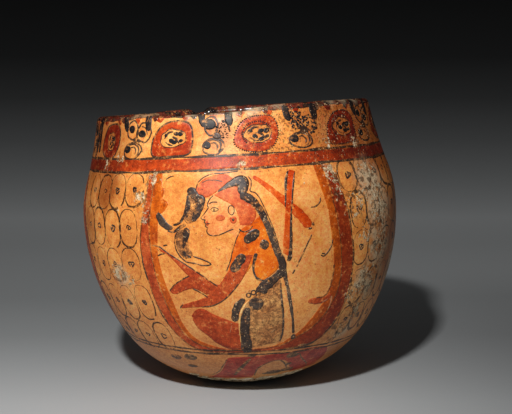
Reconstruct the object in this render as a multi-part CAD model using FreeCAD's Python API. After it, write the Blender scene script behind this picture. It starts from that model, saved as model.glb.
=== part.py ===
import FreeCAD, Part
import os
from math import asin, cos, pi, radians, sin, sqrt
from FreeCAD import Vector

os.makedirs("parts", exist_ok=True)

# A hand-built pottery bowl with round sides, slip painted outside and in.
# Lengths in millimetres, angles in degrees, +Z up, the resting foot on z = 0 about the origin.

# The finished outer wall, as tangent arcs that start at the widest circle
bellyRadius = 80.0           # the widest circle of the wall
bowlHeight = 137.5           # from the floor to the crown of the lip, along the bowl's own axis
shoulderRadius = 62.5        # arc from the belly up
shoulderTilt = 18.15         # how far the wall leans in where that arc ends
neckRadius = 232.0           # hollow arc that straightens the wall again below the lip
neckZones = 4                # the neck is turned in this many steps, so that thin layers follow it
lowerWallRadius = 108.0      # arc from the belly down
lowerWallTilt = 32.6         # tilt from upright where it ends
baseRadius = 57.3            # tighter arc that turns under
capTilt = 27.1               # tilt from level where the round bottom begins
footRadius = 20.5            # flat resting face, ground into the round bottom
footRound = 12.0             # softened edge of that face

# The wall and its hollow
wall = 5.5                   # clay and both coats
innerBaseRadius = 48.0       # arc that turns under inside
innerCapTilt = 10.0          # tilt from level where the inside bottom begins

# The potter's lean: the lip is lower on the left than on the right
lean = 4.06

# Coats and painted layers
slip = 0.5                   # ground coat outside, inside and over the lip
lipFlats = 5                 # flats round the clay's own lip, buried under its paint
paint = 0.3                  # painted layers on top of the ground coat
lipPaintDepth = 3.4          # how far the dark lip runs down the wall
footClear = 1.6              # bare clay left above the floor

# Red band round the shoulder, with a dark line on each edge
bandBelowLip = 21.3          # from the crown of the lip to the band's upper edge
bandWidth = 5.4
bandLine = 0.9
bandTilt = 0.92              # the band is painted a little more level than the lip

# Two dark lines round the foot of the wall, level with the floor
basalHeight = 23.0
basalLine = 0.8
basalGap = 1.1

# Three framed ovals, open at the top under the band, spaced by eye as a hand would
rightOvalAngle = 125.3       # degrees round from the front oval
leftOvalAngle = -109.6
ovalShift = 2.2              # middle of the front oval, to the right of the front
ovalTopHalf = 41.8
ovalHalf = 47.4
ovalFootHalf = 43.0
ovalWidestShare = 0.52       # height of the widest place, as a share of the oval's height
ovalCorner = 33.0
redFrame = 5.4               # width of the outer red frame
orangeFrame = 3.8            # width of the inner orange frame
frameShift = 1.0             # the frame is wider on the right by this shift of its inner edge

overrun = 20.0               # how far cutting shapes run past what they cut


def chain(radial, height, angle, turns):
    """Tangent arcs from one point on: each turn gives a signed radius and the angle of the
    outward normal where the arc ends. A minus radius is a hollow arc."""
    arcs = []
    for radius, endAngle in turns:
        if radius is None:                       # an arc about the bowl's axis
            radius = radial / cos(angle)
        centreR = radial - radius * cos(angle)
        centreZ = height - radius * sin(angle)
        arcs.append((centreR, centreZ, radius, angle, endAngle))
        radial = centreR + radius * cos(endAngle)
        height = centreZ + radius * sin(endAngle)
        angle = endAngle
    return arcs


def onArc(arc, angle, offset):
    centreR, centreZ, radius, _, _ = arc
    reach = radius + offset
    return Vector(centreR + reach * cos(angle), 0, centreZ + reach * sin(angle))


def arcEdges(arcs, offset):
    """The arcs moved out along their normals by the offset, as joined edges. The lip that lies
    buried under its paint is drawn in flats."""
    edges = []
    for arc in arcs:
        start, end = arc[3], arc[4]
        if arc[2] == wall / 2 and offset < 0:
            corners = [onArc(arc, start + (end - start) * step / lipFlats, offset) for step in range(lipFlats + 1)]
            edges += [Part.makeLine(first, second) for first, second in zip(corners, corners[1:])]
            continue
        points = [onArc(arc, start, offset), onArc(arc, (start + end) / 2, offset), onArc(arc, end, offset)]
        edges.append(Part.Arc(*points).toShape())
    return edges


def endsOf(edges):
    return edges[0].valueAt(edges[0].FirstParameter), edges[-1].valueAt(edges[-1].LastParameter)


def turned(edges):
    """A full turn of the closed outline about the bowl's axis."""
    face = Part.Face(Part.Wire(Part.sortEdges(edges)[0]))
    return face.revolve(Vector(0, 0, 0), Vector(0, 0, 1), 360)


def coat(arcs, under, over):
    """A layer along the arcs, between two offsets from the finished surface."""
    inner = arcEdges(arcs, under)
    outer = arcEdges(arcs, over)
    innerStart, innerEnd = endsOf(inner)
    outerStart, outerEnd = endsOf(outer)
    edges = inner + outer
    for first, second in ((innerStart, outerStart), (innerEnd, outerEnd)):
        edges.append(Part.makeLine(first, second))
    return turned(edges)


# The wall below the belly, down to the bottom of the round cap on the axis
lowerEnd = -radians(lowerWallTilt)
capStart = -radians(90 - capTilt)
below = chain(bellyRadius, 0, 0, [(lowerWallRadius, lowerEnd), (baseRadius, capStart), (None, -pi / 2)])
capArc = below[-1]
capRadius = capArc[2]

# The floor stands where the bare clay's cap is as wide as the foot
clayCap = capRadius - slip
floorDepth = sqrt(clayCap ** 2 - footRadius ** 2) - capArc[1]
pivot = Vector(0, 0, floorDepth + capArc[1])     # centre of the cap, which the lean turns about

# The wall above the belly, round the lip and down inside to the axis
shoulderEnd = radians(shoulderTilt)
shoulderTop = shoulderRadius * sin(shoulderEnd)
lipRadius = wall / 2
toLip = bowlHeight - floorDepth - shoulderTop
lipAngle = asin((neckRadius * sin(shoulderEnd) + lipRadius - toLip) / (neckRadius + lipRadius))
lipTurn = lipPaintDepth / neckRadius
neckStep = (lipAngle + lipTurn - shoulderEnd) / neckZones
neck = [(-neckRadius, shoulderEnd + neckStep * (zone + 1)) for zone in range(neckZones)]
above = chain(bellyRadius, 0, 0, [
    (shoulderRadius, shoulderEnd), *neck, (-neckRadius, lipAngle),
    (lipRadius, lipAngle + pi), (neckRadius + wall, lipAngle + pi + lipTurn),
    (neckRadius + wall, shoulderEnd + pi), (wall - shoulderRadius, pi),
    (wall - lowerWallRadius, pi + lowerEnd), (-innerBaseRadius, radians(90 + innerCapTilt)),
    (None, pi / 2)])


def lifted(arcs):
    return [(r, z + floorDepth, radius, start, end) for r, z, radius, start, end in arcs]


def backwards(arcs):
    return [(r, z, radius, end, start) for r, z, radius, start, end in reversed(arcs)]


below = backwards(lifted(below))
above = lifted(above)
lipFirst = 1 + neckZones
shoulderArcs = above[:lipFirst]
lipArcs = above[lipFirst:lipFirst + 3]
insideArcs = above[lipFirst + 3:]
outsideArcs = below + shoulderArcs


def leaned(shape):
    return shape.rotated(pivot, Vector(0, 1, 0), -lean)


def slab(low, high):
    """A wide level slice between two heights."""
    half = bellyRadius + overrun
    return Part.makeBox(half * 2, half * 2, high - low, Vector(-half, -half, low))


def clayBody():
    """Clay under its coats, ground flat where it rests."""
    edges = arcEdges(below + above, -slip)
    bottom, inside = endsOf(edges)
    body = leaned(turned(edges + [Part.makeLine(bottom, inside)])).cut(slab(-overrun, 0))
    rim = [edge for edge in body.Edges if edge.CenterOfMass.z < slip and edge.isClosed()]
    return body.makeFillet(min(footRound, footRadius), rim)


def outerSlip():
    """Ground coat of the outside, which stops short of the foot."""
    return leaned(coat(outsideArcs, -slip, 0)).cut(slab(-overrun, footClear))


def bandLayers(shell):
    """The red band and its two dark lines, each cut by planes with one tilt."""
    top = bowlHeight - bandBelowLip
    foot = top - bandWidth

    def between(low, high):
        return shell.common(slab(low, high).rotated(Vector(0, 0, top), Vector(0, 1, 0), bandTilt))

    return {
        "shoulder_band": between(foot, top),
        "shoulder_line_upper": between(top, top + bandLine),
        "shoulder_line_lower": between(foot - bandLine, foot),
    }


def basalLayers(shell):
    """Two level lines above the round bottom."""
    layers = {}
    height = basalHeight
    for name in ("basal_line_lower", "basal_line_upper"):
        layers[name] = leaned(shell).common(slab(height, height + basalLine))
        height += basalLine + basalGap
    return layers


def ovalBlock(inset):
    """A block that cuts the oval out of the front of a shell, with its outline drawn in by the inset."""
    shift = ovalShift - (frameShift if inset else 0)
    top = bowlHeight - bandBelowLip - bandWidth - bandLine
    foot = basalHeight + basalLine * 2 + basalGap
    widest = foot + (top - foot) * ovalWidestShare

    def place(half, height):
        return Vector(shift + half, 0, height)

    def side(sign):
        return [place(sign * (ovalFootHalf - inset), foot + inset), place(sign * (ovalHalf - inset), widest),
                place(sign * (ovalTopHalf - inset), top), place(sign * (ovalTopHalf - inset), top + overrun)]

    left, right = side(-1), side(1)
    edges = [Part.Arc(*points[:3]).toShape() for points in (left, right)]
    for first, second in ((left[2], left[3]), (left[3], right[3]), (right[3], right[2]), (right[0], left[0])):
        edges.append(Part.makeLine(first, second))
    face = Part.Face(Part.Wire(Part.sortEdges(edges)[0]))
    block = face.extrude(Vector(0, -bellyRadius - overrun, 0))
    lower = [edge for edge in block.Edges if abs(edge.BoundBox.ZMax - foot - inset) < paint]
    corners = [edge for edge in lower if edge.BoundBox.YLength > edge.BoundBox.XLength]
    return block.makeFillet(ovalCorner - inset, corners)


def ovalLayers(shell):
    """Red and orange frames, cut at the band above and at the basal lines below."""
    basalTop = basalHeight + basalLine * 2 + basalGap
    bandFoot = bowlHeight - bandBelowLip - bandWidth - bandLine
    under = slab(0, bandFoot).rotated(Vector(0, 0, bowlHeight - bandBelowLip), Vector(0, 1, 0), bandTilt)
    wall = shell.common(under)
    blocks = [ovalBlock(inset) for inset in (0, redFrame, redFrame + orangeFrame)]
    layers = {}
    for face, turn in (("front", 0), ("right", rightOvalAngle), ("left", leftOvalAngle)):
        for name, outer, inner in (("oval_frame_red", 0, 1), ("oval_frame_orange", 1, 2)):
            ring = blocks[outer].cut(blocks[inner]).rotated(Vector(0, 0, 0), Vector(0, 0, 1), turn)
            layers[name + "_" + face] = leaned(wall.common(ring)).cut(slab(0, basalTop))
    return layers


shell = coat(outsideArcs, 0, paint)
layers = {
    "clay_body": clayBody(),
    "outer_slip": outerSlip(),
    "inner_slip": leaned(coat(insideArcs, -slip, 0)),
    "lip_paint": leaned(coat(lipArcs, -slip, 0)),
}
layers.update((name, leaned(layer)) for name, layer in bandLayers(shell).items())
layers.update(basalLayers(shell))
layers.update(ovalLayers(shell))

for name, layer in layers.items():
    if len(layer.Solids) != 1 or not layer.isValid():
        raise ValueError("%s came out as %d solids" % (name, len(layer.Solids)))
    layer.Solids[0].exportStep("parts/" + name + ".step")
    print("%-26s %9.1f mm3" % (name, layer.Volume))

print("foot centre on the origin, belly circle %.1f mm above the floor, lip radius %.1f mm"
      % (floorDepth, onArc(lipArcs[0], lipAngle, 0).x))
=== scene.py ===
import bpy
import numpy as np
from math import asin, cos, pi, radians, sin, sqrt
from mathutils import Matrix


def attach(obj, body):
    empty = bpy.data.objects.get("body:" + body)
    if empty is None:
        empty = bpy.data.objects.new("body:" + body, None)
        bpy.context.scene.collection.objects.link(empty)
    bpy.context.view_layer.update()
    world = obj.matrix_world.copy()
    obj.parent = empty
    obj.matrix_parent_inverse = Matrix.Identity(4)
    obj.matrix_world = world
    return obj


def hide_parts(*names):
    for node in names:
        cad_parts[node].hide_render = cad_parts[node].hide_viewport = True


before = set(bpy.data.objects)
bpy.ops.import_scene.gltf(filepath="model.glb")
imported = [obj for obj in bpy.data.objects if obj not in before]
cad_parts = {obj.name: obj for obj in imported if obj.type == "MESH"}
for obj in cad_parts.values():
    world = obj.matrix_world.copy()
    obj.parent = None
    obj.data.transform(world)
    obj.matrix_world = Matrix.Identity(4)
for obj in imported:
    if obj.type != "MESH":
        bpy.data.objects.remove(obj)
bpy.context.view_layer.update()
print("frame loaded:", len(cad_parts), "nodes")

mm = 0.001

# The bowl's wall, in mm and degrees, with the same sizes as the part's own source
bowl = {
    "belly": 80.0, "height": 137.5, "shoulder": 62.5, "shoulderTilt": 18.15, "neck": 232.0,
    "lowerWall": 108.0, "lowerTilt": 32.6, "base": 57.3, "capTilt": 27.1, "foot": 20.5,
    "footRound": 12.0, "wall": 5.5, "innerBase": 48.0, "innerTilt": 10.0, "lean": 4.06,
    "slip": 0.5, "footClear": 1.6, "lipPaint": 3.4, "unevenness": 0.22, "lipChips": 0.8,
    # worn places of the lip: where round the bowl in radians, half width and depth; one stands up instead
    "lipDips": [(-0.2, 0.36, 2.1), (-2.84, 0.06, 2.4), (-2.95, 0.5, -0.9)],
}
lean = radians(bowl["lean"])


def walkArcs(turns, way):
    # tangent arcs from the widest circle on; a centre lies one radius back along the outward normal
    radial, height, angle, length, rows = bowl["belly"], 0.0, 0.0, 0.0, []
    for radius, endAngle in turns:
        if radius is None:
            radius = radial / cos(angle)
        centreR, centreZ = radial - radius * cos(angle), height - radius * sin(angle)
        run = way * abs(radius * (endAngle - angle))
        start = (length, angle) if way > 0 else (length + run, endAngle)
        rows.append((*start, radius, centreR, centreZ))
        length, angle = length + run, endAngle
        radial, height = centreR + radius * cos(angle), centreZ + radius * sin(angle)
    return rows, length


belowArcs, bottomV = walkArcs([
    (bowl["lowerWall"], -radians(bowl["lowerTilt"])),
    (bowl["base"], -radians(90 - bowl["capTilt"])), (None, -pi / 2)], -1)
capRadius, capCentre = belowArcs[-1][2], belowArcs[-1][4]
ball = capRadius - bowl["slip"]                      # the bare clay of the cap
bellyHeight = sqrt(ball ** 2 - bowl["foot"] ** 2) - capCentre
leanPivot = bellyHeight + capCentre
tilt = radians(bowl["shoulderTilt"])
lipRadius = bowl["wall"] / 2
toLip = bowl["height"] - bellyHeight - bowl["shoulder"] * sin(tilt)
lipAngle = asin((bowl["neck"] * sin(tilt) + lipRadius - toLip) / (bowl["neck"] + lipRadius))
aboveArcs, innerEnd = walkArcs([
    (bowl["shoulder"], tilt), (-bowl["neck"], lipAngle), (lipRadius, lipAngle + pi),
    (bowl["neck"] + bowl["wall"], tilt + pi), (bowl["wall"] - bowl["shoulder"], pi),
    (bowl["wall"] - bowl["lowerWall"], pi - radians(bowl["lowerTilt"])),
    (-bowl["innerBase"], radians(90 + bowl["innerTilt"])), (None, pi / 2)], 1)
wallArcs = np.array(belowArcs[::-1] + aboveArcs)
lipStart, innerStart = aboveArcs[2][0], aboveArcs[3][0]
print("wall worked out: lip begins %.1f mm above the belly, floor %.1f mm below it" % (lipStart, bellyHeight))


def wallProfile(v, lift=0.0):
    # each arc turns the outward normal at one over its radius; the place is centre plus radius and lift along it
    row = np.clip(np.searchsorted(wallArcs[:, 0], v, side="right") - 1, 0, len(wallArcs) - 1)
    start, angle, radius, centreR, centreZ = (wallArcs[row, column] for column in range(5))
    normal = angle + (v - start) / radius
    reach = radius + lift
    return centreR + reach * np.cos(normal), centreZ + reach * np.sin(normal) + bellyHeight


def wallAt(u, v, lift=0.0):
    # u runs round the belly in mm from the front, to the right; v runs along the wall, up from the belly;
    # the hand-made wall dips inward by a few slow waves, and the whole turns about the cap's centre
    u, v, lift = np.broadcast_arrays(*(np.asarray(part, float) for part in (u, v, lift)))
    azimuth = u / bowl["belly"]
    waves = 2 + np.sin(2 * azimuth + 1.3 + v / 38) * np.cos(azimuth - v / 61) + np.sin(3 * azimuth - v / 23)
    fade = np.clip((v + 96) / 20, 0, 1) * np.clip((innerEnd - v) / 60, 0, 1)
    chips = np.sin(13 * azimuth + 0.6) + np.sin(31 * azimuth) + 0.6 * np.sin(57 * azimuth + 2) - 0.5
    dips = sum(deep * np.exp(-(2 * np.sin((azimuth - place) / 2) / wide) ** 4) for place, wide, deep in bowl["lipDips"])
    nearLip = np.exp(-((v - lipStart - 4) / 4.5) ** 2)
    chips = (bowl["lipChips"] * (np.clip(chips, 0, 2) / 2) + dips) * nearLip
    radial, height = wallProfile(v, lift - bowl["unevenness"] * waves / 4 * fade - chips)
    x, y, up = radial * np.sin(azimuth), -radial * np.cos(azimuth), height - leanPivot
    points = [x * cos(lean) - up * sin(lean), y, leanPivot + up * cos(lean) + x * sin(lean)]
    return np.stack(points, axis=-1) * mm


def heightLine(u, height, slope=0.0):
    # the place v on the outside where the wall's height less slope times its x is the one asked for, by halving
    low, high = np.full(np.shape(u), bottomV), np.full(np.shape(u), lipStart)
    for _ in range(40):
        middle = (low + high) / 2
        place = wallAt(u, middle) / mm
        under = place[..., 2] - slope * place[..., 0] < height
        low, high = np.where(under, middle, low), np.where(under, high, middle)
    return (low + high) / 2


def shown(name, data):
    # puts an object with this data in the scene
    made = bpy.data.objects.new(name, data)
    bpy.context.scene.collection.objects.link(made)
    return made


def meshFrom(name, grids, material):
    # joins grids of points into one smooth mesh; a closed grid meets itself along its columns
    points, faces, count = [], [], 0
    for grid, closed in grids:
        index = count + np.arange(grid.shape[0] * grid.shape[1]).reshape(grid.shape[:2])
        if closed:
            index = np.concatenate([index, index[:, :1]], axis=1)
        faces.append(np.stack([index[:-1, :-1], index[:-1, 1:], index[1:, 1:], index[1:, :-1]], -1).reshape(-1, 4))
        points.append(grid.reshape(-1, 3))
        count += len(points[-1])
    points, faces = np.concatenate(points), np.concatenate(faces)
    mesh = bpy.data.meshes.new(name)
    mesh.vertices.add(len(points))
    mesh.vertices.foreach_set("co", points.ravel())
    mesh.loops.add(faces.size)
    mesh.loops.foreach_set("vertex_index", faces.ravel())
    mesh.polygons.add(len(faces))
    mesh.polygons.foreach_set("loop_start", np.arange(0, faces.size, 4))
    mesh.polygons.foreach_set("use_smooth", np.ones(len(faces), bool))
    mesh.update(calc_edges=True)
    mesh.validate()
    mesh.materials.append(material)
    return shown(name, mesh)


def pieceFrom(name, grids, paint, *stands):
    # a piece of the bowl in one paint, and the CAD nodes that it stands for
    material, slot = paints[paint]
    piece = meshFrom(name, grids, material)
    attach(piece, "root")
    if stands:
        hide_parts(*stands)


# Painting on the wall, in mm: each layer of paint lies a little higher, and every edge is sunk in the ground coat
sunk, firstLift, layerLift = -0.04, 0.012, 0.02


def circle(count):
    return np.linspace(0, 2 * pi, count, endpoint=False)


def liftOf(shape, layer, edges=(0, -1)):
    lift = np.full(shape, firstLift + layerLift * layer)
    lift[list(edges)] = sunk
    return lift


def smoothPath(points, step=0.5, closed=False):
    # a curve through the points that leaves each one towards its neighbours, then evenly spaced along its length
    points = np.array(points, float)
    before = points[-1:] if closed else 2 * points[:1] - points[1:2]
    after = points[:2] if closed else 2 * points[-1:] - points[-2:-1]
    padded = np.concatenate([before, points, after])
    a, b, c, d = padded[:-3, None], padded[1:-2, None], padded[2:-1, None], padded[3:, None]
    t = np.linspace(0, 1, 14, endpoint=False)[None, :, None]
    curve = 0.5 * (2 * b + (c - a) * t + (2 * a - 5 * b + 4 * c - d) * t ** 2 + (3 * b - a - 3 * c + d) * t ** 3)
    curve = np.concatenate([curve.reshape(-1, points.shape[1]), points[:1] if closed else points[-1:]])
    length = np.concatenate([[0], np.cumsum(np.hypot(*np.diff(curve[:, :2], axis=0).T))])
    even = np.linspace(0, length[-1], max(int(length[-1] / step), 6) + 1)
    return np.stack([np.interp(even, length, column) for column in curve.T], axis=-1), even


def brushWaves(along, seed, size):
    # three slow waves with chance phases, as an uneven hand leaves
    phases = seed.uniform(0, 2 * pi, 3)
    return size * sum(np.sin(along / length + phase) for length, phase in zip((0.55, 1.3, 3.1), phases)) / 2


def girth(v):
    # how wide the wall is here, against the belly that u is measured on
    return np.maximum(wallProfile(v)[0], 8) / bowl["belly"]


def stroke(path, layer, width=None, turn=0.0, closed=False, shake=0.07):
    # a ribbon along a smooth path, full height across its middle; a path without a width gives one at each point
    points = [(*point, width) for point in path] if width else path
    line, along = smoothPath(points, 0.45, closed)
    u, v, wide = line[:, 0], line[:, 1], line[:, 2] / 2
    seed = np.random.default_rng(int(abs(path[0][0] * 97 + path[0][1] * 31 + len(path) * 7) * 10))
    toEnd = np.minimum(along, along[-1] - along)
    wide = 1.12 * wide * (1 + brushWaves(along, seed, shake * 1.3) * (0.6 if closed else 1))
    if not closed:
        reach = np.clip(toEnd / np.maximum(wide, 0.15), 0, 1)
        wide = wide * np.sqrt(np.clip(1 - (1 - reach) ** 2, 0.004, 1))
    fit = girth(v)
    du, dv = np.gradient(u) * fit, np.gradient(v)
    size = np.maximum(np.hypot(du, dv), 1e-6)
    acrossU, acrossV = -dv / size, du / size
    drift = brushWaves(along, seed, shake) * np.clip(toEnd, 0, 1)
    u, v = u + acrossU * drift / fit, v + acrossV * drift
    flat = 1 - np.clip(0.1 / np.maximum(wide, 0.05), 0.03, 0.3)[:, None]
    sides = flat * [0, 1, 0.5, 0, -0.5, -1, 0] + [1, 0, 0, 0, 0, 0, -1]
    return wallAt(turn + u[:, None] + (acrossU * wide / fit)[:, None] * sides,
                  v[:, None] + (acrossV * wide)[:, None] * sides, liftOf(7, layer)[None, :]), False


def strokes(paths, layer, width=None, turn=0.0, **more):
    return [stroke(path, layer, width, turn, **more) for path in paths]


def patch(edges, layer, turn, columns=8):
    # a filled shape between two smooth edges; the first lies to the left of the way both run
    edges = [smoothPath(edge)[0] for edge in edges]
    t = np.linspace(0, 1, int(np.clip(max(map(len, edges)), 12, 420)))
    first, second = (np.stack([np.interp(t, np.linspace(0, 1, len(edge)), column) for column in edge.T], -1)
                     for edge in edges)
    share = np.concatenate([[0, 0.012], np.linspace(0.1, 0.9, columns), [0.988, 1]])
    u, v = (first[:, [axis]] * (1 - share) + second[:, [axis]] * share for axis in (0, 1))
    lift = liftOf(u.shape, layer)
    lift[:, [0, -1]] = sunk
    return wallAt(turn + u, v, lift), False


def dot(u, v, width, height, layer, turn=0.0, slant=0.0):
    # a round dab, from its sunk edge in to its middle; a speck has fewer faces
    seed = np.random.default_rng(int(abs(u * 53 + v * 19) * 10))
    corners, rings = (22, [1, 0.94, 0.6, 0.3, 0.02]) if width > 1.6 else (10, [1, 0.9, 0.02])
    angle = circle(corners)
    wobble = 1 + 0.05 * np.sin(2 * angle + seed.uniform(0, 6)) + 0.04 * np.sin(3 * angle + seed.uniform(0, 6))
    ring = np.array(rings)[:, None] * wobble
    x, y = ring * np.cos(angle) * width / 2, ring * np.sin(angle) * height / 2
    across = (x * cos(slant) - y * sin(slant)) / girth(float(v))
    return wallAt(turn + u + across, v + x * sin(slant) + y * cos(slant), liftOf(x.shape, layer, [0])), True


def dots(places, layer, turn=0.0):
    return [dot(*place, layer, turn) for place in places]


# Materials

def tone(red, green, blue):
    # a colour as 0 to 255 on a screen, as light
    share = np.array([red, green, blue]) / 255
    return (*np.where(share < 0.04045, share / 12.92, ((share + 0.055) / 1.055) ** 2.4), 1.0)


def tones(shades):
    return [tone(*shade) for shade in shades]


class Finish:
    def __init__(self, name):
        self.material = bpy.data.materials.new(name)
        self.material.use_nodes = True
        self.nodes, self.links = self.material.node_tree.nodes, self.material.node_tree.links
        self.shader = self.nodes["Principled BSDF"]
        self.place = self.nodes.new("ShaderNodeTexCoord").outputs["Object"]
        parts = self.node("ShaderNodeSeparateXYZ", {0: self.place})
        self.x, self.y, self.z = (parts.outputs[axis] for axis in "XYZ")

    def node(self, kind, inputs, **settings):
        made = self.nodes.new(kind)
        for key, value in settings.items():
            setattr(made, key, value)
        for key, value in inputs.items():
            if isinstance(value, bpy.types.NodeSocket):
                self.links.new(value, made.inputs[key])
            else:
                made.inputs[key].default_value = value
        return made

    def maths(self, operation, *values):
        return self.node("ShaderNodeMath", dict(enumerate(values)), operation=operation).outputs[0]

    def times(self, first, second):
        return self.maths("MULTIPLY", first, second)

    def total(self, start, *parts):
        # a start and more values, each by its weight
        for value, weight in parts:
            start = self.maths("MULTIPLY_ADD", value, weight, start)
        return start

    def noise(self, scale, detail, roughness=0.55, warp=0.0, stretch=None):
        place = self.place
        if stretch:
            place = self.node("ShaderNodeVectorMath", {0: place, 1: stretch}, operation="MULTIPLY").outputs[0]
        settings = {"Vector": place, "Scale": scale, "Detail": detail, "Roughness": roughness, "Distortion": warp}
        return self.node("ShaderNodeTexNoise", settings).outputs["Fac"]

    def between(self, value, low, high, most=1.0):
        # nought below low, most above high, smooth in between
        return self.node("ShaderNodeMapRange", {"Value": value, "From Min": low, "From Max": high, "To Max": most},
                         interpolation_type="SMOOTHSTEP").outputs["Result"]

    def places(self, spots):
        # one at the middle of each round place on the wall, falling smoothly to nought at its reach
        most = 0.0
        for u, v, reach, *share in spots:
            away = self.node("ShaderNodeVectorMath", {0: self.place, 1: wallAt(u, v)}, operation="DISTANCE")
            near = self.between(away.outputs["Value"], reach * mm, 0.3 * reach * mm, *share)
            most = self.maths("MAXIMUM", most, near)
        return most

    def mix(self, colour, over, share, strength=1.0, blend="MIX"):
        # lays one colour over another as far as share and strength go
        inputs = {0: self.times(share, strength), 6: colour, 7: over}
        return self.node("ShaderNodeMix", inputs, data_type="RGBA", blend_type=blend).outputs[2]

    def ramp(self, value, colours, stops=None):
        # colours that follow on one another, evenly unless their stops are given
        made = self.node("ShaderNodeValToRGB", {0: value})
        stops = np.linspace(0, 1, len(colours)) if stops is None else stops
        elements = made.color_ramp.elements
        elements[0].position, elements[0].color = stops[0], colours[0]
        elements[1].position, elements[1].color = stops[-1], colours[-1]
        for stop, colour in list(zip(stops, colours))[1:-1]:
            elements.new(stop).color = colour
        return made.outputs[0]

    def finish(self, colour, roughness, bump, depth, **uniform):
        self.links.new(colour, self.shader.inputs["Base Color"])
        self.links.new(roughness, self.shader.inputs["Roughness"])
        made = self.node("ShaderNodeBump", {"Height": bump, "Strength": 1.0, "Distance": depth})
        self.links.new(made.outputs[0], self.shader.inputs["Normal"])
        for key, value in uniform.items():
            self.shader.inputs[key].default_value = value
        return self.material


# Ground coat and paints share one age: the same worn, crusted and scratched places, and the same painted shade, run
# across them all
age = {
    "ground": [(208, 124, 54), (232, 150, 72), (242, 172, 98)],
    "groundLow": tone(200, 134, 84),      # browner towards the foot
    # the first tone here is the dark that painted shade is multiplied by
    "paintedShadeTone": tone(140, 84, 42), "haze": tone(208, 186, 150),
    "crust": [(104, 80, 56), (164, 136, 100), (200, 182, 146), (228, 218, 192)],
    "fleck": tone(222, 184, 138), "soot": tone(58, 34, 22), "gap": tone(66, 44, 28),
    # middle (mm round, mm up) and reach of each place where crust has settled, where the coat is pitted, where it is
    # darkened as painted shade, and where paint is deeper, partly as painted shade; a fourth number weakens it
    "crusted": [(47, 20, 8), (49, 10, 7), (59, 5, 11), (72, 14, 16), (78, 0, 16), (80, -18, 14), (66, -9, 9),
        (70, -34, 15), (60, -38, 11), (57, -60, 10), (66, -50, 8), (-45, 6, 5), (-48, 15, 6), (-42, 23, 6),
        (-68, -21, 8), (-61, -23, 6), (3, 27, 5), (70, 33, 6), (-66, 33, 5), (-78, 30, 5), (49, 33, 5),
        (112, -34, 18), (196, -50, 12), (262, -10, 18), (300, 24, 14)],
    "hazed": [(73, 14, 15), (78, 4, 18), (78, -16, 17), (73, -34, 17), (62, -59, 9), (-66, -22, 8), (-24, 56, 6),
        (-13, 57, 7), (-1, 57, 7), (11, 57, 7), (23, 56, 6), (58, 57, 6, 0.5), (70, 57, 6, 0.6), (82, 57, 6, 0.6),
        (110, -32, 18), (262, -10, 16)],
    "pitted": [(20, 42, 26), (56, 41, 22), (80, 40, 24), (44, 27, 10), (190, 38, 30)],
    # places darkened as painted shade, mostly towards the bowl's left and right sides
    "paintedShade": [(-98, 6, 24, 0.6), (-94, 43, 44, 0.9), (-74, 20, 17), (-7, 42, 9, 0.45), (98, -16, 42, 0.85),
        (92, 42, 52), (62, 44, 34), (72, -76, 14, 0.5), (38, -8, 36, 0.4)],
    # places where paint is deeper, partly in tone and partly as painted shade, on the frame's right and at both sides
    # of the rim
    "deepenedAndShaded": [(52, 14, 16), (54, 0, 20), (56, -16, 22), (57, -34, 24), (52, -52, 22), (36, -62, 16), (62, 41, 26),
        (80, 28, 30), (-80, 42, 24), (-94, 30, 22)],
    # what each noise is for: scale, detail, roughness, how far it is warped, and its stretch
    "noises": {
        "drift": (14, 4, 0.6, 0.4), "mottle": (90, 6, 0.7, 0.4), "fine": (620, 3, 0.6), "dust": (1700, 2, 0.6),
        "blotch": (130, 4, 0.65), "streak": (240, 4, 0.7, 0.8), "pit": (1050, 2, 0.6), "fleck": (980, 2, 0.6, 0.3),
        "scratch": (30, 1, 0.4, 0.5, (1, 1, 0.24)), "scratched": (48, 3, 0.7), "haze": (110, 4, 0.7),
        "gap": (400, 2, 0.6, 0.6), "lump": (130, 3), "flake": (580, 3, 0.6, 0.5),
    },
    "roughness": 0.23, "relief": 0.00012,
}


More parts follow.
